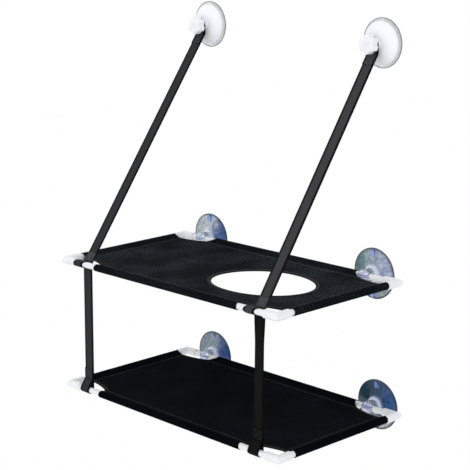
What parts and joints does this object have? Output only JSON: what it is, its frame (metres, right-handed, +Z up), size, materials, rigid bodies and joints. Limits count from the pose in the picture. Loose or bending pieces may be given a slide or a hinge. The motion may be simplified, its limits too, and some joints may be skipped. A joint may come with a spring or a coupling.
{
  "type": "window mounted cat perch",
  "caption": "Window cat perch with stacked mesh decks on white tube frames, held by suction cups and webbing straps; the decks fold up towards the glass together.",
  "frame": {"origin": "on the room face of the glass, level with the upper deck's rear tube axis and midway between its ends", "axes": "+X towards the perch's right as seen from the room, +Y out of the room through the glass, +Z up"},
  "size_m": [0.565, 0.3215, 0.745],
  "materials": {
    "white_plastic": "smooth, slightly glossy",
    "blue_vinyl": "clear soft vinyl with a blue grey cast",
    "clear_vinyl": "clear soft vinyl",
    "plated_steel": "zinc plated",
    "mesh_cloth": "fine open mesh with stitched sleeves",
    "webbing": "twill woven webbing"
  },
  "bodies": {
    "window_mounts": {"upper_left_rear_cup": "blue_vinyl", "upper_right_rear_cup": "blue_vinyl", "lower_left_rear_cup": "blue_vinyl", "lower_right_rear_cup": "blue_vinyl", "upper_left_cup": "clear_vinyl", "upper_right_cup": "clear_vinyl", "left_stud": "plated_steel", "left_pressure_cover": "white_plastic", "left_support_strap": "webbing", "right_stud": "plated_steel", "right_pressure_cover": "white_plastic", "right_support_strap": "webbing"},
    "upper_deck": {"upper_front_tube": "white_plastic", "upper_rear_tube": "white_plastic", "upper_left_tube": "white_plastic", "upper_right_tube": "white_plastic", "upper_front_left_elbow": "white_plastic", "upper_front_right_elbow": "white_plastic", "upper_rear_left_elbow": "white_plastic", "upper_rear_right_elbow": "white_plastic", "upper_sling": "mesh_cloth", "left_strap_turn": "webbing", "right_strap_turn": "webbing"},
    "lower_deck": {"lower_front_tube": "white_plastic", "lower_rear_tube": "white_plastic", "lower_left_tube": "white_plastic", "lower_right_tube": "white_plastic", "lower_front_left_elbow": "white_plastic", "lower_front_right_elbow": "white_plastic", "lower_rear_left_elbow": "white_plastic", "lower_rear_right_elbow": "white_plastic", "lower_sling": "mesh_cloth"},
    "hanging_straps": {"left_hanging_strap": "webbing", "right_hanging_strap": "webbing"},
    "left_knob": {"left_knob": "white_plastic"},
    "right_knob": {"right_knob": "white_plastic"}
  },
  "joints": [
    {"name": "upper_deck_fold", "type": "hinge", "parent": "window_mounts", "child": "upper_deck", "pos_m": [0, -0.024, 0], "axis": [-1, 0, 0], "range_deg": [0, 65], "deforming": ["left_support_strap", "right_support_strap"]},
    {"name": "lower_deck_fold", "type": "hinge", "parent": "window_mounts", "child": "lower_deck", "pos_m": [0, -0.024, -0.24], "axis": [-1, 0, 0], "range_deg": [0, 65]},
    {"name": "hanging_strap_swing", "type": "hinge", "parent": "upper_deck", "child": "hanging_straps", "pos_m": [0, -0.314, 0], "axis": [-1, 0, 0], "range_deg": [-65, 0]},
    {"name": "left_knob_turn", "type": "hinge", "parent": "window_mounts", "child": "left_knob", "pos_m": [-0.214, -0.03, 0.416], "axis": [0, -1, 0], "range_deg": [0, 360]},
    {"name": "right_knob_turn", "type": "hinge", "parent": "window_mounts", "child": "right_knob", "pos_m": [0.218, -0.03, 0.404], "axis": [0, -1, 0], "range_deg": [0, 360]}
  ],
  "couplings": [
    {"joint": "lower_deck_fold", "follows": "upper_deck_fold", "ratio": 1},
    {"joint": "hanging_strap_swing", "follows": "upper_deck_fold", "ratio": -1}
  ]
}
